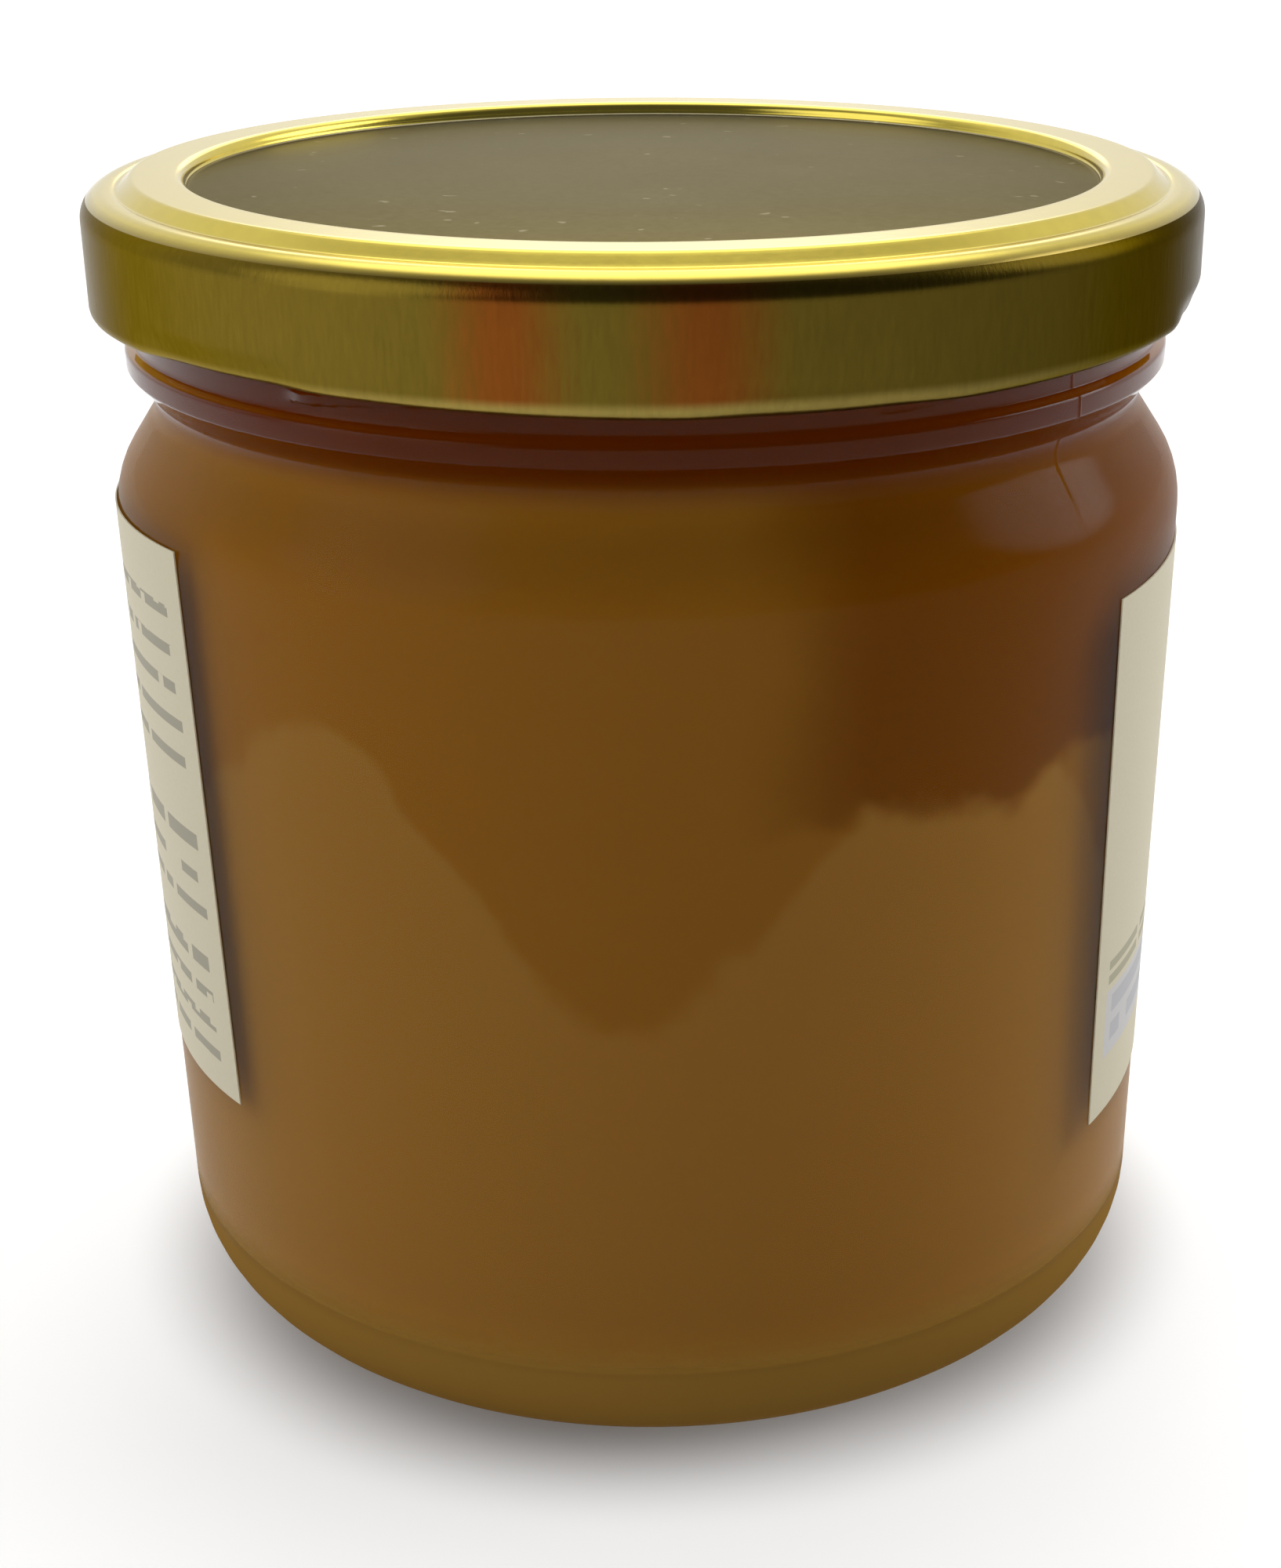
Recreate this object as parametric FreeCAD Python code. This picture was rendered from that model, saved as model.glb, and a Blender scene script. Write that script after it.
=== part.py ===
"""A clear glass jar of honey with a shut metal lug lid and a paper label.

Frame: millimetres, +Z up, origin at the centre of the ring that the jar stands on.
The bare glass between the two ends of the label faces -Y, and azimuths are
counted from -Y towards +X, which is anticlockwise seen from above.

Nodes: jar (glass), honey (its filling), lid (tinplate), label (paper).
"""

import FreeCAD, Part
import math
import os

Vector = FreeCAD.Vector
AXIS_START = Vector(0, 0, 0)
AXIS = Vector(0, 0, 1)

# ---- driving sizes, millimetres and degrees ----

# glass body
BODY_DIAMETER = 84.4
BODY_WALL = 2.8
RIM_HEIGHT = 92.15          # from the floor to the top of the glass
HEEL_RADIUS = 9.0           # rounded edge between side and base
FLOOR_THICKNESS = 4.6       # glass over the hollow of the base
PUSH_UP = 1.4               # depth of that hollow
FOOT_WIDTH = 2.2            # flat ring that the jar stands on
FOOT_ROUND = 0.5
PUSH_UP_ROUND = 1.0
SHOULDER_DROP = 21.7        # from the rim down to the corner of the shoulder
SHOULDER_RADIUS = 8.0
INNER_SHOULDER_RADIUS = 6.0
INNER_HEEL_RADIUS = 6.5
INNER_SHOULDER_LOWER = 1.0  # corner of the shoulder inside, below the outer one
INNER_WAIST_LOWER = 2.5     # where the inside reaches the mouth's width, below the waist

# glass neck, or finish
NECK_DIAMETER = 79.1        # plain wall that the thread stands on
NECK_WALL = 2.95
RIM_OUTER_ROUND = 2.3
RIM_INNER_ROUND = 0.4
WAIST_DROP = 15.62          # from the rim down to the corner of the waist
WAIST_CORNER_INSET = 1.66   # corner of the waist, in from the plain neck wall
WAIST_RADIUS = 2.3
BEAD_DROP = 13.05           # from the rim down to the lower edge of the bead
BEAD_HEIGHT = 1.4
BEAD_PROUD = 0.78           # bead outside the plain neck wall
BEAD_LOWER_ROUND = 0.35
BEAD_UPPER_ROUND = 0.45
BEAD_FOOT_HEIGHT = 0.4      # from the bead's upper edge up to the plain wall

# thread: one sloping ridge for each lug of the lid
LUG_COUNT = 6
THREAD_PROUD = 0.85
THREAD_HEIGHT = 1.2
THREAD_DROP = 10.75         # from the rim down to the low end's lower edge
THREAD_RISE = 2.9           # along the whole ridge
THREAD_SPAN = 56.0
THREAD_END_SPAN = 4.0       # each end sinks into the wall over this much
THREAD_CREST_SHARE = 0.5    # width of the ridge's crest beside its foot
THREAD_SECTIONS = 9
THREAD_ROOT = 0.5           # how far a ridge's root lies inside the wall

# honey
HEADSPACE = 3.4             # between the honey and the lid's panel

# lid, pressed from sheet
SHEET = 0.25
LID_CLEARANCE = 1.84        # between the bead of the neck and the skirt's inside
LID_DEPTH = 9.95            # from the top of the lid's ring to the lower edge
PANEL_SINK = 0.95           # panel below the top of the ring
RING_INSIDE = 2.0           # ring's inner wall, in from the mouth of the glass
RING_OUTER_INSET = 1.0      # ring's outer corner, in from the plain neck wall
RING_SLOPE_WIDTH = 1.15     # from that corner down to the groove
RING_DRAFT = 0.15           # lean of the ring's inner wall
RING_INNER_ROUND = 0.7
RING_OUTER_ROUND = 0.6
GROOVE_DEPTH = 0.9          # groove below the top of the ring
GROOVE_WIDTH = 0.25
PRESS_ROUND = 0.35          # inside bends of the pressing
SHOULDER_SINK = 0.8         # outer shoulder below the top of the ring
LID_SHOULDER_RADIUS = 2.0
SKIRT_FLARE = 0.13          # the skirt is this much wider at its lower edge
CURL_RADIUS = 0.8           # of the rolled lower edge

# lugs: the rolled edge pressed inwards, under the thread
LUG_FIRST_AZIMUTH = 16.0
LUG_SPAN = 9.0
LUG_HEIGHT = 1.0
LUG_BITE = 0.35             # how far a lug reaches in past the thread's crest
LUG_TO_THREAD_START = 5.5   # from the middle of a lug to the next ridge's low end

# label
LABEL_LENGTH = 185.0
LABEL_FOOT_GAP = 13.65      # straight wall left bare below the label
LABEL_HEAD_GAP = 3.1        # and above it, up to the corner of the shoulder
LABEL_THICKNESS = 0.12
LABEL_TILT = 1.35           # the label was put on slightly askew
LABEL_MIDDLE_AZIMUTH = 180.9

# ---- sizes worked out from those ----
BODY_R = BODY_DIAMETER / 2
INNER_R = BODY_R - BODY_WALL
NECK_R = NECK_DIAMETER / 2
MOUTH_R = NECK_R - NECK_WALL
BEAD_R = NECK_R + BEAD_PROUD
THREAD_R = NECK_R + THREAD_PROUD
FLOOR_TOP = PUSH_UP + FLOOR_THICKNESS
SHOULDER_Z = RIM_HEIGHT - SHOULDER_DROP
WAIST_Z = RIM_HEIGHT - WAIST_DROP
BEAD_Z = RIM_HEIGHT - BEAD_DROP

LID_TOP = RIM_HEIGHT + SHEET
LID_BOTTOM = LID_TOP - LID_DEPTH
PANEL_TOP = LID_TOP - PANEL_SINK
SKIRT_R = BEAD_R + LID_CLEARANCE + SHEET
RING_R = MOUTH_R - RING_INSIDE
RING_OUTER_R = NECK_R - RING_OUTER_INSET
SKIRT_LOW_R = SKIRT_R + SKIRT_FLARE
CURL_Z = LID_BOTTOM + CURL_RADIUS
HONEY_TOP = PANEL_TOP - SHEET - HEADSPACE

LABEL_FOOT_Z = HEEL_RADIUS + LABEL_FOOT_GAP
LABEL_WIDTH = SHOULDER_Z - LABEL_HEAD_GAP - LABEL_FOOT_Z
LABEL_MIDDLE_Z = LABEL_FOOT_Z + LABEL_WIDTH / 2


# ---- outlines ----

def rounded_outline(corners):
    """Edges through (radius, height, rounding) corners in the XZ plane, joined by arcs."""
    points = [Vector(r, 0, z) for r, z, _ in corners]
    edges = []
    start = points[0]

    def line_to(end):
        if (end - start).Length > 1e-6:
            edges.append(Part.LineSegment(start, end).toShape())

    for i in range(1, len(points) - 1):
        corner = points[i]
        rounding = corners[i][2]
        if not rounding:
            line_to(corner)
            start = corner
            continue
        back = (points[i - 1] - corner).normalize()
        ahead = (points[i + 1] - corner).normalize()
        half = back.getAngle(ahead) / 2
        reach = rounding / math.tan(half)
        near = rounding / math.sin(half) - rounding
        middle = (back + ahead).normalize()
        arc = Part.Arc(corner + back * reach, corner + middle * near, corner + ahead * reach)
        line_to(corner + back * reach)
        edges.append(arc.toShape())
        start = corner + ahead * reach
    line_to(points[-1])
    return edges


def turned(corners):
    """A solid of revolution. The outline starts and ends on the axis."""
    edges = rounded_outline(corners)
    top = Vector(corners[-1][0], 0, corners[-1][1])
    bottom = Vector(corners[0][0], 0, corners[0][1])
    edges.append(Part.LineSegment(top, bottom).toShape())
    face = Part.Face(Part.Wire(edges))
    return face.revolve(AXIS_START, AXIS, 360)


def at_azimuth(radius, azimuth, z):
    angle = math.radians(azimuth)
    return Vector(radius * math.sin(angle), -radius * math.cos(angle), z)


# ---- glass ----

def glass_outside():
    foot_outer = BODY_R - HEEL_RADIUS
    foot_inner = foot_outer - FOOT_WIDTH
    waist_r = NECK_R - WAIST_CORNER_INSET
    return turned([
        (0, PUSH_UP, 0),
        (foot_inner - PUSH_UP, PUSH_UP, PUSH_UP_ROUND),
        (foot_inner, 0, FOOT_ROUND),
        (BODY_R, 0, HEEL_RADIUS),
        (BODY_R, SHOULDER_Z, SHOULDER_RADIUS),
        (waist_r, WAIST_Z, WAIST_RADIUS),
        (BEAD_R, BEAD_Z, BEAD_LOWER_ROUND),
        (BEAD_R, BEAD_Z + BEAD_HEIGHT, BEAD_UPPER_ROUND),
        (NECK_R, BEAD_Z + BEAD_HEIGHT + BEAD_FOOT_HEIGHT, BEAD_FOOT_HEIGHT),
        (NECK_R, RIM_HEIGHT, RIM_OUTER_ROUND),
        (MOUTH_R, RIM_HEIGHT, RIM_INNER_ROUND),
        (MOUTH_R, RIM_HEIGHT - RIM_INNER_ROUND, 0),
        (0, RIM_HEIGHT - RIM_INNER_ROUND, 0),
    ])


def hollow(top):
    """The space inside the glass, from its floor up to the given height."""
    return turned([
        (0, FLOOR_TOP, 0),
        (INNER_R, FLOOR_TOP, INNER_HEEL_RADIUS),
        (INNER_R, SHOULDER_Z - INNER_SHOULDER_LOWER, INNER_SHOULDER_RADIUS),
        (MOUTH_R, WAIST_Z - INNER_WAIST_LOWER, INNER_SHOULDER_RADIUS),
        (MOUTH_R, top, 0),
        (0, top, 0),
    ])


def thread_section(azimuth, low_z, proud):
    """Closed outline of a ridge in the plane through the axis at one azimuth."""
    root = NECK_R - THREAD_ROOT
    crest = NECK_R + proud
    inset = THREAD_HEIGHT * (1 - THREAD_CREST_SHARE) / 2
    return Part.makePolygon([
        at_azimuth(root, azimuth, low_z),
        at_azimuth(crest, azimuth, low_z + inset),
        at_azimuth(crest, azimuth, low_z + THREAD_HEIGHT - inset),
        at_azimuth(root, azimuth, low_z + THREAD_HEIGHT),
        at_azimuth(root, azimuth, low_z),
    ])


def thread_ridge(start):
    """One ridge, which climbs to the right and sinks into the wall at both ends."""
    sections = []
    low = RIM_HEIGHT - THREAD_DROP
    for i in range(THREAD_SECTIONS):
        along = THREAD_SPAN * i / (THREAD_SECTIONS - 1)
        from_end = min(along, THREAD_SPAN - along)
        proud = THREAD_PROUD * min(1.0, from_end / THREAD_END_SPAN)
        rise = THREAD_RISE * along / THREAD_SPAN
        sections.append(thread_section(start + along, low + rise, proud))
    return Part.makeLoft(sections, True, True)


def make_jar():
    glass = glass_outside().cut(hollow(RIM_HEIGHT + 1.0))
    for i in range(LUG_COUNT):
        start = LUG_FIRST_AZIMUTH + LUG_TO_THREAD_START + i * 360.0 / LUG_COUNT
        glass = glass.fuse(thread_ridge(start))
    return glass.removeSplitter()


def make_honey():
    return hollow(HONEY_TOP)


# ---- lid ----

def lid_skin(inset):
    """Corners of the lid's outer skin, moved into the sheet by inset."""
    slope = math.atan2(GROOVE_DEPTH, RING_SLOPE_WIDTH)
    bend_inset = inset * math.tan(slope / 2)
    groove_r = RING_OUTER_R + RING_SLOPE_WIDTH
    return [
        (0, PANEL_TOP - inset, 0),
        (RING_R + inset, PANEL_TOP - inset, PRESS_ROUND + inset),
        (RING_R + RING_DRAFT + inset, LID_TOP - inset, RING_INNER_ROUND - inset),
        (RING_OUTER_R - bend_inset, LID_TOP - inset, RING_OUTER_ROUND - inset),
        (groove_r - bend_inset, LID_TOP - GROOVE_DEPTH - inset, PRESS_ROUND + inset),
        (groove_r + GROOVE_WIDTH, LID_TOP - SHOULDER_SINK - inset, 0),
        (SKIRT_R - inset, LID_TOP - SHOULDER_SINK - inset, LID_SHOULDER_RADIUS - inset),
        (SKIRT_LOW_R - inset, CURL_Z, 0),
    ]


def lid_sheet():
    """The pressed sheet: the outer skin, the inner skin and the cut edge between."""
    outer = lid_skin(0)
    inner = lid_skin(SHEET)
    return turned(outer + inner[::-1])


def lid_curl():
    """The lower edge, rolled inwards into a bead."""
    return Part.makeTorus(SKIRT_LOW_R - CURL_RADIUS, CURL_RADIUS, Vector(0, 0, CURL_Z), AXIS)


def lug(azimuth):
    """A stretch of the rolled edge that reaches in under the thread."""
    inner_r = THREAD_R - LUG_BITE
    outer_r = SKIRT_LOW_R - CURL_RADIUS
    low_z = CURL_Z - LUG_HEIGHT / 2
    section = Part.makePolygon([
        Vector(inner_r, 0, low_z),
        Vector(outer_r, 0, low_z),
        Vector(outer_r, 0, low_z + LUG_HEIGHT),
        Vector(inner_r, 0, low_z + LUG_HEIGHT),
        Vector(inner_r, 0, low_z),
    ])
    solid = Part.Face(section).revolve(AXIS_START, AXIS, LUG_SPAN)
    solid.rotate(AXIS_START, AXIS, azimuth - 90 - LUG_SPAN / 2)
    return solid


def make_lid():
    lid = lid_sheet().fuse(lid_curl())
    for i in range(LUG_COUNT):
        lid = lid.fuse(lug(LUG_FIRST_AZIMUTH + i * 360.0 / LUG_COUNT))
    return lid.removeSplitter()


# ---- label ----

def label_face(radius):
    """The label's rectangle, turned by its tilt and wrapped on a cylinder."""
    tilt = math.radians(LABEL_TILT)
    half_length = LABEL_LENGTH / 2
    half_width = LABEL_WIDTH / 2
    middle = math.radians(LABEL_MIDDLE_AZIMUTH - 90)
    corners = []
    for along, across in ((-1, -1), (1, -1), (1, 1), (-1, 1)):
        s = along * half_length
        t = across * half_width
        wrapped = s * math.cos(tilt) - t * math.sin(tilt)
        height = s * math.sin(tilt) + t * math.cos(tilt)
        corners.append(FreeCAD.Base.Vector2d(middle + wrapped / BODY_R, LABEL_MIDDLE_Z + height))
    surface = Part.Cylinder()
    surface.Radius = radius
    edges = []
    for a, b in zip(corners, corners[1:] + corners[:1]):
        edges.append(Part.Geom2d.Line2dSegment(a, b).toShape(surface))
    return surface, edges


def make_label():
    inner_surface, inner_edges = label_face(BODY_R)
    outer_surface, outer_edges = label_face(BODY_R + LABEL_THICKNESS)
    faces = [
        Part.Face(inner_surface, Part.Wire(inner_edges)),
        Part.Face(outer_surface, Part.Wire(outer_edges)),
    ]
    for a, b in zip(inner_edges, outer_edges):
        faces.append(Part.makeRuledSurface(a, b))
    shell = Part.makeShell(faces)
    shell.sewShape()
    return Part.Solid(shell)


def main():
    os.makedirs("parts", exist_ok=True)
    nodes = {"jar": make_jar(), "honey": make_honey(), "lid": make_lid(), "label": make_label()}
    for name, shape in nodes.items():
        solid, = shape.Solids
        print(name, "valid", solid.isValid(), "volume", round(solid.Volume / 1000, 2), "cubic centimetres")
        solid.exportStep("parts/%s.step" % name)


main()
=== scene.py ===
"""Looks of a shut jar of honey: a clear glass jar, its honey, a lug lid and a paper label.

Metres, +Z up, the jar's axis at x = y = 0 and its foot at z = 0. Azimuths are in
degrees from -Y towards +X, anticlockwise seen from above. The bare glass between
the two ends of the label faces -Y. Sizes of the pieces are written in millimetres
and turned into metres as the meshes are made. Lengths in the finishes are metres.
"""

import math

import bpy
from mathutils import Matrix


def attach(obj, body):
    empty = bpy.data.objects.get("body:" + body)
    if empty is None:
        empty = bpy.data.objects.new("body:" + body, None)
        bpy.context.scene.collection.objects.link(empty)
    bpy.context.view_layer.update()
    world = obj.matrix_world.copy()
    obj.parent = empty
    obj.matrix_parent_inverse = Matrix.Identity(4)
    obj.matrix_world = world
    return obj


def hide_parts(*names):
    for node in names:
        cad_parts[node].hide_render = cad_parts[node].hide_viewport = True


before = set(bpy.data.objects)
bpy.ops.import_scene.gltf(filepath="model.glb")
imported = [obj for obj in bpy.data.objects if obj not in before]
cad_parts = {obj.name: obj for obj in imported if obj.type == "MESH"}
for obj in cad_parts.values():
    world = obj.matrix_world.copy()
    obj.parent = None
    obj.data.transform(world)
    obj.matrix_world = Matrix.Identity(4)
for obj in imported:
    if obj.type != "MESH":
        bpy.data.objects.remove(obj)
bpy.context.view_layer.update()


# ---------------------------------------------------------------- glass jar
# A squat round jar of clear soda glass, pressed and blown in a two-part mould.
# The mould leaves a seam up each side, a bead under the finish, six sloping
# thread ridges and a hollow under the base. The jar stands on the ring round it.

MM = 0.001
BODY_R = 42.2
NECK_R = 39.55
MOUTH_R = 36.6
RIM_Z = 92.15
JAR_OUTSIDE = [
    (0, 1.4, 0), (29.6, 1.4, 1.0), (31.0, 0, 0.5), (BODY_R, 0, 9.0),
    (BODY_R, 70.45, 8.0), (37.89, 76.53, 2.3), (40.33, 79.1, 0.35),
    (40.33, 80.5, 0.45), (NECK_R, 80.9, 0.4), (NECK_R, RIM_Z, 2.3), (MOUTH_R, RIM_Z, 0.4),
]
JAR_INSIDE = [
    (0, 6.0, 0), (39.4, 6.0, 6.5), (39.4, 69.45, 6.0), (MOUTH_R, 74.03, 6.0),
]
JAR_CUTS = 288              # cuts round the glass
RIDGES = 6
RIDGE_START = 21.5          # azimuth of the first ridge's low end
RIDGE_SPAN = 56.0
RIDGE_END = 4.0
RIDGE_LOW_Z = 81.4
RIDGE_RISE = 2.9
RIDGE_TALL = 1.2
RIDGE_PROUD = 0.85
RIDGE_FLANK = 0.32
SEAM_AZIMUTH = 48.0
SEAM_HALF_WIDTH = 0.25      # degrees
SEAM_PROUD = 0.09           # on the neck and the bead
SEAM_BODY_SHARE = 0.12      # of that, left on the body
SEAM_BODY_Z, SEAM_NECK_Z = 71.0, 74.0       # it grows prouder between these
SEAM_FOOT_Z = 3.0
SEAM_LEAST_R = 37.0         # keeps the seam off the inside of the mouth
SEAM_STEP = 0.125           # degrees between the fine cuts at a seam
NECK_STRAIGHT_Z = RIM_Z - 2.4
FINE_FROM_Z, FINE_TO_Z = 81.0, 86.4         # fine rows up the neck keep the ridges sharp
FINE_ROW_Z, FINE_ROW_STEP, FINE_ROWS = 81.2, 0.12, 42


def rounded(corners, turn=7.5, gap=4.0):
    """Points along an outline of (radius, height, rounding) corners, arcs included."""
    points = [corners[0][:2]]
    for i in range(1, len(corners) - 1):
        r, z, rounding = corners[i]
        back = (corners[i - 1][0] - r, corners[i - 1][1] - z)
        ahead = (corners[i + 1][0] - r, corners[i + 1][1] - z)
        back_long, ahead_long = math.hypot(*back), math.hypot(*ahead)
        back = (back[0] / back_long, back[1] / back_long)
        ahead = (ahead[0] / ahead_long, ahead[1] / ahead_long)
        half = math.acos(max(-1, min(1, back[0] * ahead[0] + back[1] * ahead[1]))) / 2
        if not rounding:
            points.append((r, z))
            continue
        reach = rounding / math.tan(half)
        mid = (back[0] + ahead[0], back[1] + ahead[1])
        mid_long = math.hypot(*mid)
        far = rounding / math.sin(half)
        cr, cz = r + mid[0] / mid_long * far, z + mid[1] / mid_long * far
        a0 = math.atan2(z + back[1] * reach - cz, r + back[0] * reach - cr)
        a1 = math.atan2(z + ahead[1] * reach - cz, r + ahead[0] * reach - cr)
        sweep = (a1 - a0 + math.pi) % (2 * math.pi) - math.pi
        steps = max(2, round(math.degrees(abs(sweep)) / turn))
        for k in range(steps + 1):
            a = a0 + sweep * k / steps
            points.append((cr + rounding * math.cos(a), cz + rounding * math.sin(a)))
    points.append(corners[-1][:2])
    spread = [points[0]]
    for p in points[1:]:
        q = spread[-1]
        long = math.hypot(p[0] - q[0], p[1] - q[1])
        if long < 1e-4:
            continue
        parts = max(1, math.ceil(long / gap))
        for k in range(1, parts + 1):
            spread.append((q[0] + (p[0] - q[0]) * k / parts, q[1] + (p[1] - q[1]) * k / parts))
    return spread


def make_piece(name, verts, faces, smooth_angle=35):
    """A mesh object in metres from points in millimetres, with shared smooth normals."""
    mesh = bpy.data.meshes.new(name)
    mesh.from_pydata([(x * MM, y * MM, z * MM) for x, y, z in verts], [], faces)
    mesh.validate()
    mesh.update()
    piece = bpy.data.objects.new(name, mesh)
    bpy.context.scene.collection.objects.link(piece)
    mesh.shade_smooth()
    if smooth_angle:
        mesh.set_sharp_from_angle(angle=math.radians(smooth_angle))
    return piece


def turn_round(name, outline, azimuths, shape=None, smooth_angle=35):
    """Turns an outline about the axis. It starts and ends on the axis or closes on itself."""
    on_axis_start = outline[0][0] < 1e-6
    on_axis_end = outline[-1][0] < 1e-6
    verts, faces, rows = [], [], []
    for r, z in outline:
        if r < 1e-6:
            rows.append([len(verts)])
            verts.append((0, 0, z))
            continue
        row = []
        for azimuth in azimuths:
            rr, zz = shape(r, z, azimuth) if shape else (r, z)
            a = math.radians(azimuth)
            row.append(len(verts))
            verts.append((rr * math.sin(a), -rr * math.cos(a), zz))
        rows.append(row)
    pairs = list(zip(rows, rows[1:]))
    if not (on_axis_start or on_axis_end):
        pairs.append((rows[-1], rows[0]))
    n = len(azimuths)
    for low, high in pairs:
        for k in range(n):
            j = (k + 1) % n
            if len(low) == 1:
                faces.append((low[0], high[j], high[k]))
            elif len(high) == 1:
                faces.append((low[k], low[j], high[0]))
            else:
                faces.append((low[k], low[j], high[j], high[k]))
    return make_piece(name, verts, faces, smooth_angle)


def ease(x):
    """A soft step from 0 to 1."""
    x = max(0.0, min(1.0, x))
    return x * x * (3 - 2 * x)


def jar_surface(r, z, azimuth):
    """Adds the thread ridges and the mould seams to the plain turned outside."""
    out = 0.0
    if r > NECK_R - 0.01 and RIDGE_LOW_Z - 0.2 < z < NECK_STRAIGHT_Z:
        along = (azimuth - RIDGE_START) % (360.0 / RIDGES)
        if along < RIDGE_SPAN:
            middle = RIDGE_LOW_Z + RIDGE_RISE * along / RIDGE_SPAN + RIDGE_TALL / 2
            ends = ease(min(along, RIDGE_SPAN - along) / RIDGE_END)
            out = RIDGE_PROUD * ends * ease((RIDGE_TALL / 2 - abs(z - middle)) / RIDGE_FLANK)
    for seam in (SEAM_AZIMUTH, SEAM_AZIMUTH + 180):
        off = abs((azimuth - seam + 180) % 360 - 180)
        if off < SEAM_HALF_WIDTH and SEAM_FOOT_Z < z < NECK_STRAIGHT_Z and r > SEAM_LEAST_R:
            grown = ease((z - SEAM_BODY_Z) / (SEAM_NECK_Z - SEAM_BODY_Z))
            share = SEAM_BODY_SHARE + (1 - SEAM_BODY_SHARE) * grown
            out += SEAM_PROUD * (1 - off / SEAM_HALF_WIDTH) * share
    return r + out, z


jar_outline = rounded(JAR_OUTSIDE)
fine_rows = [(NECK_R, FINE_ROW_Z + FINE_ROW_STEP * k) for k in range(FINE_ROWS)]
below = max(i for i, p in enumerate(jar_outline) if p[1] < FINE_FROM_Z)
over = next(i for i, p in enumerate(jar_outline) if i > below and p[1] > FINE_TO_Z)
jar_inside = rounded(JAR_INSIDE + [(MOUTH_R, RIM_Z - 0.4, 0)])
jar_outline = jar_outline[:below + 1] + fine_rows + jar_outline[over:] + jar_inside[::-1]

jar_azimuths = sorted(
    {round(k * 360.0 / JAR_CUTS, 3) for k in range(JAR_CUTS)}
    | {round(seam + k * SEAM_STEP, 3)
       for seam in (SEAM_AZIMUTH, SEAM_AZIMUTH + 180) for k in range(-3, 4)})
jar = turn_round("jar_glass", jar_outline, jar_azimuths, jar_surface)


class Nodes:
    """Short calls for building a material, or the world, out of shader nodes."""

    def __init__(self, owner):
        self.owner = owner
        owner.use_nodes = True
        self.tree = owner.node_tree
        self.tree.nodes.clear()

    @classmethod
    def material(cls, name):
        return cls(bpy.data.materials.new(name))

    def add(self, kind, inputs=None, **settings):
        node = self.tree.nodes.new(kind)
        for key, value in settings.items():
            setattr(node, key, value)
        for key, value in (inputs or {}).items():
            socket = node.inputs[key]
            if isinstance(value, bpy.types.NodeSocket):
                self.tree.links.new(value, socket)
            else:
                socket.default_value = value
        return node

    def math(self, operation, a, b=0.0, c=0.0):
        return self.add("ShaderNodeMath", {0: a, 1: b, 2: c}, operation=operation).outputs[0]

    def times(self, a, b):
        return self.math("MULTIPLY", a, b)

    def scaled(self, value, by, plus):
        return self.math("MULTIPLY_ADD", value, by, plus)

    def soft(self, value, start, end, low=0.0, high=1.0):
        """A soft step from low to high as the value goes from start to end."""
        return self.add("ShaderNodeMapRange", {
            "Value": value, "From Min": start, "From Max": end, "To Min": low, "To Max": high},
            interpolation_type="SMOOTHSTEP").outputs[0]

    def straight(self, value, start, end, low=0.0, high=1.0):
        """The same with a straight slope between."""
        return self.add("ShaderNodeMapRange", {
            "Value": value, "From Min": start, "From Max": end,
            "To Min": low, "To Max": high}).outputs[0]

    def noise(self, vector, scale, detail=2.0, rough=0.5):
        return self.add("ShaderNodeTexNoise", {
            "Vector": vector, "Scale": scale, "Detail": detail, "Roughness": rough}).outputs["Fac"]

    def mix(self, factor, a, b, blend="MIX"):
        return self.add("ShaderNodeMix", {0: factor, 6: a, 7: b},
                        data_type="RGBA", blend_type=blend).outputs[2]

    def shaded(self, color, level):
        """The colour made lighter and darker by a varying level."""
        grey = self.add("ShaderNodeCombineColor", {0: level, 1: level, 2: level}).outputs[0]
        return self.mix(1.0, color, grey, "MULTIPLY")

    def blend(self, factor, a, b):
        return self.add("ShaderNodeMixShader", {0: factor, 1: a, 2: b}).outputs[0]

    def bump(self, height, strength, distance, under=None):
        inputs = {"Strength": strength, "Distance": distance, "Height": height}
        if under is not None:
            inputs["Normal"] = under
        return self.add("ShaderNodeBump", inputs).outputs["Normal"]

    def place(self):
        return self.add("ShaderNodeTexCoord").outputs["Object"]

    def split(self, vector):
        xyz = self.add("ShaderNodeSeparateXYZ", {"Vector": vector})
        return [xyz.outputs[k] for k in ("X", "Y", "Z")]

    def joined(self, x, y, z=0.0):
        return self.add("ShaderNodeCombineXYZ", {"X": x, "Y": y, "Z": z}).outputs[0]

    def around(self, x, y):
        """Azimuth in radians."""
        return self.math("ARCTAN2", x, self.times(y, -1.0))

    def radius(self, x, y):
        return self.math("SQRT", self.math("ADD", self.times(x, x), self.times(y, y)))

    def out(self, shader):
        self.add("ShaderNodeOutputMaterial", {"Surface": shader})
        return self.owner


GLASS_TINT = (0.97, 0.985, 0.975, 1)
GLASS_IOR = 1.40            # a little under real glass, so that soft light doesn't veil the honey
GLASS_SPECULAR = (0.30, 0.30, 0.30, 1)
BODY_SHINE = 0.30           # how much of the glass's own shine is kept
NECK_SHINE = 0.90
BODY_SHINE_Z, NECK_SHINE_Z = 0.0765, 0.0785
FOOT_HONEY_REFLECTION = (0.320, 0.172, 0.032, 1)       # painted reflection: the foot is drawn in the colour of the honey seen in its thick glass
FOOT_REFLECTION_SHARE = 0.92
CLEAR_FROM_Z, REFLECTION_TO_Z = 0.0125, 0.0085


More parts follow.
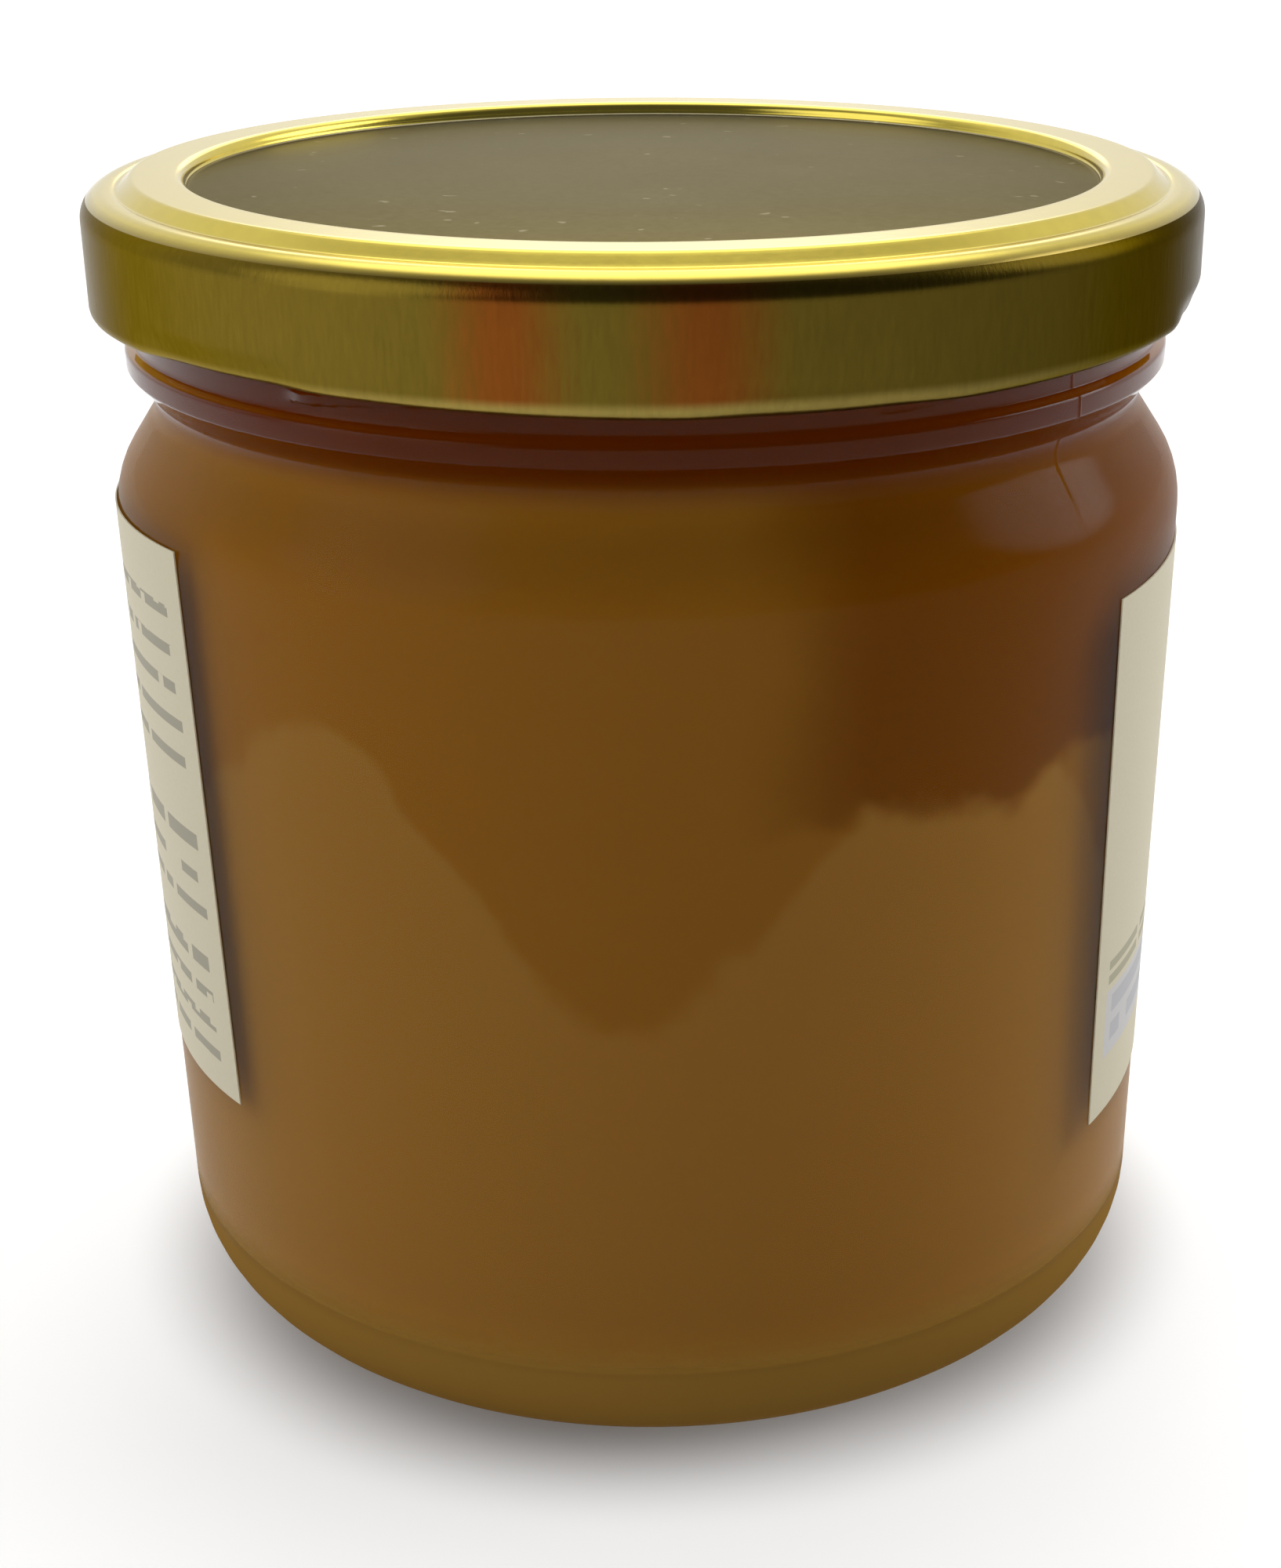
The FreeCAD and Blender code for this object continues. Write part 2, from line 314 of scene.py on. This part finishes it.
def clear_glass():
    """Clear glass whose outer skin has the slow waves of a blown wall."""
    n = Nodes.material("clear_glass")
    place = n.place()
    height = n.split(place)[2]
    normal = n.bump(n.noise(place, 38.0, detail=1.5), 0.35, 0.0005)
    bright = n.add("ShaderNodeBsdfPrincipled", {
        "Base Color": GLASS_TINT, "Roughness": 0.0, "IOR": GLASS_IOR, "Transmission Weight": 1.0,
        "Specular Tint": GLASS_SPECULAR, "Normal": normal}).outputs[0]
    plain = n.add("ShaderNodeBsdfRefraction", {
        "Color": GLASS_TINT, "Roughness": 0.0, "IOR": GLASS_IOR, "Normal": normal}).outputs[0]
    shine = n.straight(height, BODY_SHINE_Z, NECK_SHINE_Z, BODY_SHINE, NECK_SHINE)
    glass = n.blend(shine, plain, bright)
    # painted reflection: low down the glass is drawn mostly as a flat honey-coloured surface,
    # standing for the honey seen in the thick foot
    amber = n.add("ShaderNodeBsdfDiffuse", {"Color": FOOT_HONEY_REFLECTION}).outputs[0]
    glass = n.blend(n.soft(height, CLEAR_FROM_Z, REFLECTION_TO_Z, 0.0, FOOT_REFLECTION_SHARE), glass, amber)
    # light passes straight through to the honey, so that the glass throws no shadow on it
    clear = n.add("ShaderNodeBsdfTransparent", {"Color": (1, 1, 1, 1)}).outputs[0]
    path = n.add("ShaderNodeLightPath")
    passes = n.math("MAXIMUM", path.outputs["Is Shadow Ray"], path.outputs["Is Diffuse Ray"])
    return n.out(n.blend(passes, glass, clear))


jar.data.materials.append(clear_glass())
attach(jar, "root")
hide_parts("jar")


# ---------------------------------------------------------------- honey
# Thick amber honey, half set and slightly cloudy, that fills the glass to just
# under the lid. It wets the glass, so its skin is let a hair into the wall.

HONEY_TOP = 87.8
HONEY_INTO_WALL = 0.06
HONEY_CUTS = 144
MENISCUS = 0.35
WALL_FROM_Z, FLOOR_TO_Z = 20.0, 6.0         # the skin turns from the wall to the floor


def honey_outline():
    wall = rounded(JAR_INSIDE + [(MOUTH_R, HONEY_TOP, 0)])
    skin = []
    for r, z in wall:
        low = ease((WALL_FROM_Z - z) / (WALL_FROM_Z - FLOOR_TO_Z))
        skin.append((r + (HONEY_INTO_WALL if r > 1 else 0), z - HONEY_INTO_WALL * low))
    meniscus = [(MOUTH_R - 0.5, HONEY_TOP - 0.25), (MOUTH_R - 1.5, HONEY_TOP - MENISCUS)]
    return skin + meniscus + [(0, HONEY_TOP - MENISCUS)]


honey_azimuths = [k * 360.0 / HONEY_CUTS for k in range(HONEY_CUTS)]
honey = turn_round("honey_fill", honey_outline(), honey_azimuths)

CLOUDY_REFLECTED_LOW = (0.335, 0.172, 0.028, 1)
CLOUDY_REFLECTED_WARM = (0.365, 0.160, 0.018, 1)
CLEAR_AMBER = (0.308, 0.130, 0.010, 1)
DARK_REFLECTION_AMBER = (0.195, 0.060, 0.001, 1)
NECK_SHADE_AMBER = (0.120, 0.018, 0.0004, 1)
CLOUD_REFLECTION_LINE_Z = 0.0490       # cloudier below a line that rises and falls: partly the honey's own cloud, partly a painted reflection of the bright floor
CLOUD_REFLECTION_LINE_SWING = -0.0105
CLOUD_REFLECTION_LINE_WAVES = 5.0
CLOUD_REFLECTION_LINE_TURN = 0.22
LINE_WOBBLE = 0.012
LINE_SOFT = 0.0012
DARK_REFLECTION_LINE_Z = 0.0535        # above this the honey on one side is clearest, and drawn darkest as a painted dark reflection
DARK_REFLECTION_FROM, DARK_REFLECTION_TO = 0.12, 0.40             # azimuths in radians, where that side begins
FADE_FROM, FADE_TO = 1.30, 2.10             # and where it ends
NECK_FROM_Z, NECK_TO_Z = 0.0745, 0.0790     # painted shade: the honey in the neck is drawn darker, as it lies in the lid's shade
SCATTER = (1.0, 0.6, 0.3)
SCATTER_DEPTH = 0.003


def amber_honey():
    """Clear at the top and cloudier below a soft line that rises and falls, partly painted
    reflection; darker on one side as painted reflection and in the neck as painted shade.
    """
    n = Nodes.material("amber_honey")
    place = n.place()
    x, y, z = n.split(place)
    around = n.around(x, y)
    swing = n.math("COSINE", n.scaled(around, CLOUD_REFLECTION_LINE_WAVES, CLOUD_REFLECTION_LINE_TURN))
    line = n.scaled(swing, CLOUD_REFLECTION_LINE_SWING, CLOUD_REFLECTION_LINE_Z)
    wobble = n.scaled(n.noise(place, 90.0, detail=3.0), LINE_WOBBLE, -LINE_WOBBLE / 2)
    uneven = n.math("ADD", z, wobble)
    clear = n.soft(n.math("SUBTRACT", uneven, line), -LINE_SOFT, LINE_SOFT)
    rise = n.soft(uneven, DARK_REFLECTION_LINE_Z - LINE_SOFT, DARK_REFLECTION_LINE_Z + LINE_SOFT)
    begins = n.soft(n.scaled(wobble, 12.0, around), DARK_REFLECTION_FROM, DARK_REFLECTION_TO)
    ends = n.soft(around, FADE_TO, FADE_FROM)
    dark = n.times(n.times(rise, begins), ends)
    # the cloudy honey, partly a painted reflection of the bright floor; the dark side is a painted
    # dark reflection
    cloudy_and_reflected = n.mix(n.noise(place, 20.0, detail=1.0), CLOUDY_REFLECTED_LOW, CLOUDY_REFLECTED_WARM)
    tone = n.mix(dark, n.mix(clear, cloudy_and_reflected, CLEAR_AMBER), DARK_REFLECTION_AMBER)
    # painted shade in the neck, under the lid
    tone = n.mix(n.soft(z, NECK_FROM_Z, NECK_TO_Z), tone, NECK_SHADE_AMBER)
    shader = n.add("ShaderNodeBsdfPrincipled", {
        "Base Color": tone, "Roughness": 0.5, "IOR": 1.49, "Specular IOR Level": 0.0,
        "Subsurface Weight": 1.0, "Subsurface Radius": SCATTER, "Subsurface Scale": SCATTER_DEPTH})
    return n.out(shader.outputs[0])


honey.data.materials.append(amber_honey())
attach(honey, "root")
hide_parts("honey")


# ---------------------------------------------------------------- lug lid
# A six-lug twist-off lid, pressed from one disc of 0.25 mm tinplate with a gold
# lacquer. The sunk panel, the raised ring and the groove stiffen its top, and the
# lower edge is rolled inwards and pinched in under the thread at each lug.

SHEET = 0.25
LID_CUTS = 360
RING_TOP = 92.4
PANEL_TOP = 91.45
SKIRT_TOP_Z = 91.6
SKIRT_R = 42.42
SKIRT_LOW_R = 42.55
CURL_R = 0.8
CURL_Z = 83.25
CURL_SWEEP = 300.0          # degrees that the edge is rolled through
CURL_STEPS = 14
HEM_Z = CURL_Z - CURL_R
HEM_MIDDLE_Z = 82.82        # the lower edge, between its high and low places
HEM_WAVE = 0.3
HEM_WAVES = 3
HEM_WAVE_AZIMUTH = 14.0
LUGS = 6
LUG_AZIMUTH = 16.0
LUG_HALF_SPAN = 14.0
LUG_END = 8.0
LUG_PINCH = 0.6
LUG_TOP_Z = 85.0
LUG_SLOPE = 2.2
SKIRT_STRAIGHT_Z = 89.0     # the skirt is straight inside below this
LID_TOP_CORNERS = [
    (0, PANEL_TOP, 0), (34.6, PANEL_TOP, 0.35), (34.75, RING_TOP, 0.7), (38.55, RING_TOP, 0.6),
    (39.7, 91.5, 0.35), (39.95, SKIRT_TOP_Z, 0), (SKIRT_R, SKIRT_TOP_Z, 2.0),
    (SKIRT_LOW_R, CURL_Z, 0),
]


def lid_outline():
    """Out under the sheet, down inside the skirt, round the rolled edge and back over the top."""
    outside = rounded(LID_TOP_CORNERS, turn=6.0, gap=0.35)
    roll = []
    for k in range(1, CURL_STEPS + 1):
        a = math.radians(-k * CURL_SWEEP / CURL_STEPS)
        roll.append((SKIRT_LOW_R - CURL_R + CURL_R * math.cos(a), CURL_Z + CURL_R * math.sin(a)))
    inner = [(r - SHEET, z) for r, z in outside[::-1] if r > 41.6 and 84.5 < z < SKIRT_STRAIGHT_Z]
    under = rounded([
        (SKIRT_R - SHEET, SKIRT_STRAIGHT_Z, 0), (SKIRT_R - SHEET, SKIRT_TOP_Z - SHEET, 1.75),
        (39.9, SKIRT_TOP_Z - SHEET, 0), (39.6, 91.25, 0.3), (38.45, RING_TOP - SHEET, 0.35),
        (35.0, RING_TOP - SHEET, 0.45), (34.85, PANEL_TOP - SHEET, 0.6), (0, PANEL_TOP - SHEET, 0)],
        turn=15.0, gap=3.0)
    return (outside + roll + inner + under)[::-1]


def lug_share(azimuth):
    pitch = 360 / LUGS
    off = abs((azimuth - LUG_AZIMUTH + pitch / 2) % pitch - pitch / 2)
    return ease((LUG_HALF_SPAN - off) / LUG_END)


def lid_surface(r, z, azimuth):
    """The hem rises and dips a little, and is pinched in at the lugs."""
    if r < 39.0 or z > 90.0:
        return r, z
    low = ease((88.0 - z) / 4.5)
    wave = math.cos(math.radians(HEM_WAVES * (azimuth - HEM_WAVE_AZIMUTH)))
    lift = (HEM_MIDDLE_Z - HEM_WAVE * wave - HEM_Z) * low
    pinch = LUG_PINCH * lug_share(azimuth) * ease((LUG_TOP_Z - z) / LUG_SLOPE)
    return r - pinch, z + lift


lid_azimuths = [k * 360.0 / LID_CUTS for k in range(LID_CUTS)]
lid = turn_round("lid_tinplate", lid_outline(), lid_azimuths, lid_surface, smooth_angle=50)

# painted shade: the panel's gold is drawn greyer and darker than the ring's, though the lid has one
# lacquer
SHADED_PANEL_GOLD = (0.300, 0.270, 0.170, 1)
PANEL_EDGE = (0.235, 0.220, 0.205, 1)       # how much of the sheen is left at a glancing angle
PANEL_DUST = (0.62, 0.58, 0.42, 1)
DUST_FROM, DUST_TO = 0.735, 0.775
CROWN_FROM = 0.012          # outside this radius the panel falls away very slightly
CROWN_CURVE = -1.3


def satin_panel():
    """Satin lacquer drawn greyish and dark as painted shade, finely speckled, with grains of dust
    on it.
    """
    n = Nodes.material("satin_panel")
    place = n.place()
    x, y, _ = n.split(place)
    speckle = n.noise(place, 1700.0, detail=2.0)
    level = n.scaled(speckle, 0.22, n.scaled(n.noise(place, 70.0, detail=3.0), 0.16, 0.81))
    dust = n.add("ShaderNodeValToRGB", {"Fac": n.noise(place, 620.0, detail=1.0)})
    for element, position in zip(dust.color_ramp.elements, (DUST_FROM, DUST_TO)):
        element.position = position
    share = n.times(dust.outputs["Color"], 0.5)
    color = n.mix(share, n.shaded(SHADED_PANEL_GOLD, level), PANEL_DUST)
    past = n.math("MAXIMUM", n.math("SUBTRACT", n.radius(x, y), CROWN_FROM), 0.0)
    crown = n.bump(n.times(n.times(past, past), CROWN_CURVE), 1.0, 1.0)
    shader = n.add("ShaderNodeBsdfPrincipled", {
        "Base Color": color, "Metallic": 1.0, "Roughness": 0.30, "Specular Tint": PANEL_EDGE,
        "Normal": n.bump(speckle, 0.05, 0.0001, under=crown)})
    return n.out(shader.outputs[0])


RING_GOLD = (0.580, 0.460, 0.060, 1)
RING_EDGE = (0.85, 0.80, 0.60, 1)
# painted shade: the rounded outer shoulder is drawn dark
SHADED_SHOULDER_GOLD = (0.160, 0.105, 0.010, 1)
RING_TO_R, SHOULDER_SHADE_FROM_R = 0.0413, 0.0420


def bright_ring():
    """Gold lacquer over the ring, fading at the outer shoulder into a dark painted shade like the
    skirt's.
    """
    n = Nodes.material("bright_ring")
    place = n.place()
    x, y, _ = n.split(place)
    outer = n.straight(n.radius(x, y), RING_TO_R, SHOULDER_SHADE_FROM_R)
    grain = n.noise(place, 900.0, detail=3.0)
    color = n.shaded(n.mix(outer, RING_GOLD, SHADED_SHOULDER_GOLD), n.scaled(grain, 0.16, 0.92))
    shader = n.add("ShaderNodeBsdfPrincipled", {
        "Base Color": color, "Metallic": 1.0, "Roughness": 0.16, "Specular Tint": RING_EDGE,
        "Coat Weight": 0.5, "Coat Roughness": 0.12, "Coat IOR": 1.5,
        "Normal": n.bump(grain, 0.06, 0.0001)})
    return n.out(shader.outputs[0])


# painted shade: the skirt's gold is drawn much darker than the ring's, though the lid has one
# lacquer; the rolled edge is drawn in a lighter gold
SHADED_SKIRT_GOLD = (0.200, 0.138, 0.018, 1)
SKIRT_EDGE = (0.50, 0.47, 0.42, 1)
REFLECTED_BROWN = (0.290, 0.085, 0.012, 1)      # painted reflection of brown things in front of the skirt
REFLECTED_STREAKS = [(-12.5, 4.2), (5.0, 4.6)]  # azimuth and half width
HEM_GOLD = (0.460, 0.345, 0.085, 1)
SKIRT_TO_Z, HEM_FROM_Z = 0.0840, 0.0831
SIDE_REFLECTION_MIDDLE = 0.64       # painted reflection: the skirt is drawn lighter on one side and darker on the other
SIDE_REFLECTION_SWING = 0.42
SIDE_REFLECTION_TURN = 0.36
GRAIN_FINE, GRAIN_LONG = 1000.0, 170.0      # the grain is long upwards and fine across


def grained_skirt():
    """Lacquer drawn darker as painted shade, lighter on one side and with brown streaks as painted
    reflections, over the upright grain that drawing leaves in the skirt.
    """
    n = Nodes.material("grained_skirt")
    place = n.place()
    x, y, z = n.split(place)
    around = n.around(x, y)
    drawn = n.joined(n.times(x, GRAIN_FINE), n.times(y, GRAIN_FINE), n.times(z, GRAIN_LONG))
    grain = n.noise(drawn, 2.6, detail=4.0, rough=0.65)
    level = n.scaled(grain, 0.45, n.scaled(n.noise(place, 55.0, detail=3.0), 0.25, 0.65))
    # painted reflection: lighter on one side of the skirt
    reflection_side = n.math("SINE", n.math("ADD", around, SIDE_REFLECTION_TURN))
    level = n.times(level, n.scaled(reflection_side, -SIDE_REFLECTION_SWING, SIDE_REFLECTION_MIDDLE))
    shaded_gold = SHADED_SKIRT_GOLD
    ragged = n.scaled(grain, 0.06, n.math("ADD", around, -0.03))
    # painted reflection: two brown streaks down the front of the skirt
    for azimuth, half in REFLECTED_STREAKS:
        off = n.math("ABSOLUTE", n.math("SUBTRACT", ragged, math.radians(azimuth)))
        reflected_streak = n.soft(off, math.radians(half * 1.8), math.radians(half * 0.1))
        shaded_gold = n.mix(reflected_streak, shaded_gold, REFLECTED_BROWN)
    shaded_gold = n.mix(n.soft(z, SKIRT_TO_Z, HEM_FROM_Z), shaded_gold, HEM_GOLD)
    shader = n.add("ShaderNodeBsdfPrincipled", {
        "Base Color": n.shaded(shaded_gold, level), "Metallic": 1.0,
        "Roughness": n.scaled(grain, 0.10, 0.20), "Specular Tint": SKIRT_EDGE,
        "Normal": n.bump(grain, 0.08, 0.0002)})
    return n.out(shader.outputs[0])


PANEL_EDGE_R = 34.55
SKIRT_FROM_Z = 90.9
PANEL, RING, SKIRT = range(3)
for finish in (satin_panel(), bright_ring(), grained_skirt()):
    lid.data.materials.append(finish)
for face in lid.data.polygons:
    fx, fy, fz = face.center / MM
    if fz > PANEL_TOP - 0.1 and math.hypot(fx, fy) < PANEL_EDGE_R:
        face.material_index = PANEL
    elif fz > SKIRT_FROM_Z and face.normal.z > -0.2:
        face.material_index = RING
    else:
        face.material_index = SKIRT
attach(lid, "root")
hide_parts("lid")


# ---------------------------------------------------------------- paper label
# One strip of cream paper, wrapped round the back of the jar and glued flat.
# It was put on a little askew, so its ends stand at different heights.

LABEL_LONG = 185.0
LABEL_WIDE = 44.7
LABEL_THICK = 0.12
LABEL_MIDDLE_Z = 45.0
LABEL_TILT = 1.35
LABEL_MIDDLE_AZIMUTH = 180.9
LABEL_OFF_GLASS = 0.01


def make_label(columns=240, rows=12):
    """A tilted strip bent round the body, with a layer of flat millimetres for its looks."""
    tilt = math.radians(LABEL_TILT)
    verts, uvs = [], []
    for r in (BODY_R + LABEL_THICK, BODY_R + LABEL_OFF_GLASS):
        for j in range(rows + 1):
            for i in range(columns + 1):
                u, v = LABEL_LONG * i / columns, LABEL_WIDE * j / rows
                s, t = u - LABEL_LONG / 2, v - LABEL_WIDE / 2
                around = s * math.cos(tilt) - t * math.sin(tilt)
                z = LABEL_MIDDLE_Z + s * math.sin(tilt) + t * math.cos(tilt)
                a = math.radians(LABEL_MIDDLE_AZIMUTH) + around / BODY_R
                verts.append((r * math.sin(a), -r * math.cos(a), z))
                uvs.append((u, v))
    w = columns + 1
    back = w * (rows + 1)
    faces = []
    for j in range(rows):
        for i in range(columns):
            a = j * w + i
            faces.append((a, a + 1, a + w + 1, a + w))
            faces.append((back + a + w, back + a + w + 1, back + a + 1, back + a))
    edge = list(range(w)) + [j * w + columns for j in range(1, rows + 1)]
    edge += [rows * w + i for i in range(columns - 1, -1, -1)]
    edge += [j * w for j in range(rows - 1, 0, -1)]
    for a, b in zip(edge, edge[1:] + edge[:1]):
        faces.append((b, a, back + a, back + b))
    piece = make_piece("label_paper", verts, faces)
    layer = piece.data.uv_layers.new(name="label_mm")
    for loop in piece.data.loops:
        layer.data[loop.index].uv = uvs[loop.vertex_index]
    return piece


label = make_label()

PAPER = (0.68, 0.62, 0.45, 1)
INK = (0.16, 0.15, 0.12, 1)
# rows of plain bars: height of the row's foot, how tall its bars are, where it stops
RIGHT_ROWS = [
    (39.3, 0.9, 182.6), (36.3, 0.9, 182.4), (33.4, 0.9, 182.4), (30.5, 0.9, 182.9),
    (27.6, 0.9, 182.6), (21.1, 1.3, 183.0), (18.2, 0.9, 183.1), (15.4, 0.9, 183.2),
    (10.6, 1.3, 182.3), (8.0, 0.9, 182.4), (5.3, 0.9, 182.2), (2.8, 0.9, 182.4),
]
RIGHT_ROWS_START = 158.0
CELLS_ALONG, CELLS_UP = 0.9, 0.35           # to a millimetre; bars fill most of these cells
BARE_SHARE = 0.14
WHITE_FIELD = (0.62, 0.61, 0.60, 1)
FIELD_U, FIELD_V = (2.0, 22.0), (5.2, 11.3)
MARKS_BLUE = (0.30, 0.31, 0.38, 1)
MARKS_U, MARKS_V = (3.2, 20.0), [(9.0, 10.6), (6.4, 8.0)]
CAPTION_OLIVE = (0.22, 0.22, 0.13, 1)
CAPTION_U, CAPTION_V = (2.0, 24.0), [(13.2, 14.0), (11.9, 12.7)]


def cream_paper():
    """Cream paper with plain bars at one end, and a pale field with marks at the other."""
    n = Nodes.material("cream_paper")
    uv = n.add("ShaderNodeUVMap", uv_map="label_mm").outputs[0]
    u, v, _ = n.split(uv)

    def between(value, low, high):
        return n.times(n.math("GREATER_THAN", value, low), n.math("LESS_THAN", value, high))

    def lines(across, heights):
        both = n.math("ADD", between(v, *heights[0]), between(v, *heights[1]))
        return n.times(both, between(u, *across))

    fibre = n.noise(uv, 3.0, detail=4.0, rough=0.6)
    cell = n.joined(
        n.math("FLOOR", n.times(u, CELLS_ALONG)), n.math("FLOOR", n.times(v, CELLS_UP)))
    chance = n.add("ShaderNodeTexWhiteNoise", {"Vector": cell}, noise_dimensions="3D")
    bar = n.math("GREATER_THAN", chance.outputs["Value"], BARE_SHARE)
    rows = None
    for foot, tall, stop in RIGHT_ROWS:
        row = n.times(between(v, foot, foot + tall), between(u, RIGHT_ROWS_START, stop))
        rows = row if rows is None else n.math("MAXIMUM", rows, row)
    field = n.times(between(v, *FIELD_V), between(u, *FIELD_U))
    color = n.shaded(PAPER, n.scaled(fibre, 0.10, 0.95))
    color = n.mix(n.times(n.times(rows, bar), 0.6), color, INK)
    color = n.mix(field, color, WHITE_FIELD)
    color = n.mix(n.times(n.times(lines(MARKS_U, MARKS_V), bar), 0.35), color, MARKS_BLUE)
    color = n.mix(n.times(n.times(lines(CAPTION_U, CAPTION_V), bar), 0.55), color, CAPTION_OLIVE)
    shader = n.add("ShaderNodeBsdfPrincipled", {
        "Base Color": color, "Roughness": 0.55, "Specular IOR Level": 0.3,
        "Normal": n.bump(fibre, 0.1, 0.0001)})
    return n.out(shader.outputs[0])


label.data.materials.append(cream_paper())
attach(label, "root")
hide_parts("label")


# ---------------------------------------------------------------- studio
# A plain pale floor that runs out of sight, a pale room with soft round lights
# in it, and the camera. They only serve the view and are no part of the object.

FLOOR_WHITE = (0.66, 0.66, 0.66, 1)
FLOOR_GLOW = 0.50           # what the floor's own white adds where it is looked at
GLOW_FROM_R, GLOW_TO_R = 0.036, 0.050       # none of it close to the foot, where the shadow is; the floor just round the foot is left darker as painted shadow
FLOOR_BELOW = 0.00005       # keeps the floor off the glass


def pale_floor():
    bpy.ops.mesh.primitive_circle_add(
        vertices=96, radius=6.0, fill_type="NGON", location=(0, 0, -FLOOR_BELOW))
    floor = bpy.context.object
    floor.name = "studio_floor"
    n = Nodes.material("pale_floor")
    diffuse = n.add("ShaderNodeBsdfDiffuse", {"Color": FLOOR_WHITE}).outputs[0]
    glow = n.add("ShaderNodeEmission", {"Color": (1, 1, 1, 1), "Strength": FLOOR_GLOW}).outputs[0]
    dark = n.add("ShaderNodeEmission", {"Strength": 0.0}).outputs[0]
    path = n.add("ShaderNodeLightPath")
    through = n.math("MAXIMUM", path.outputs["Is Glossy Ray"], path.outputs["Is Transmission Ray"])
    seen = n.math("MAXIMUM", path.outputs["Is Camera Ray"], through)
    away = n.add("ShaderNodeVectorMath", {0: n.place()}, operation="LENGTH").outputs["Value"]
    share = n.times(seen, n.soft(away, GLOW_FROM_R, GLOW_TO_R))
    both = n.add("ShaderNodeAddShader", {0: diffuse, 1: n.blend(share, dark, glow)})
    floor.data.materials.append(n.out(both.outputs[0]))


# soft round lights: azimuth, elevation, half angle, width of the soft edge, strength
SOFT_LIGHTS = [
    (180, 23, 13, 6, 1.4),
    (180, 60, 20, 20, 1.7),
    (-62, 26, 20, 20, 1.7),
    (104, 28, 17, 12, 3.2),
]
ROOM_FRONT, ROOM_BACK = 0.10, 1.05          # how light the room is overhead
FRONT_Y, BACK_Y = -0.3, 0.5
WHITE_TO, ROOM_FROM = 0.06, 0.21            # heights where the white of the horizon ends


def pale_room():
    """White round the horizon, dim overhead, with soft round lights in it."""
    world = bpy.data.worlds.new("pale_room")
    bpy.context.scene.world = world
    n = Nodes(world)
    way = n.add("ShaderNodeTexCoord").outputs["Generated"]
    _, y, z = n.split(way)
    room = n.straight(y, FRONT_Y, BACK_Y, ROOM_FRONT, ROOM_BACK)
    level = n.scaled(n.soft(z, WHITE_TO, ROOM_FROM), n.math("SUBTRACT", room, 1.0), 1.0)
    for azimuth, elevation, half, edge, strength in SOFT_LIGHTS:
        a, e = math.radians(azimuth), math.radians(elevation)
        toward = (math.cos(e) * math.sin(a), -math.cos(e) * math.cos(a), math.sin(e))
        near = n.add("ShaderNodeVectorMath", {0: way, 1: toward}, operation="DOT_PRODUCT")
        outer = math.cos(math.radians(half + edge / 2))
        inner = math.cos(math.radians(max(0.0, half - edge / 2)))
        share = n.soft(near.outputs["Value"], outer, inner)
        level = n.math("ADD", level, n.times(share, strength))
    light = n.add("ShaderNodeBackground", {"Color": (1, 1, 1, 1), "Strength": level})
    n.add("ShaderNodeOutputWorld", {"Surface": light.outputs[0]})


pale_floor()
pale_room()

camera_data = bpy.data.cameras.new("view_camera")
camera_data.lens = 57.32
camera_data.shift_x = -0.0656
camera_data.shift_y = 0.2043
camera_data.clip_start = 0.01
camera = bpy.data.objects.new("view_camera", camera_data)
camera.location = (0, -0.202121, 0.120572)
camera.rotation_euler = (math.radians(61.35), 0, math.radians(-2.12))
bpy.context.scene.collection.objects.link(camera)
bpy.context.scene.camera = camera
bpy.context.scene.view_settings.view_transform = "Standard"
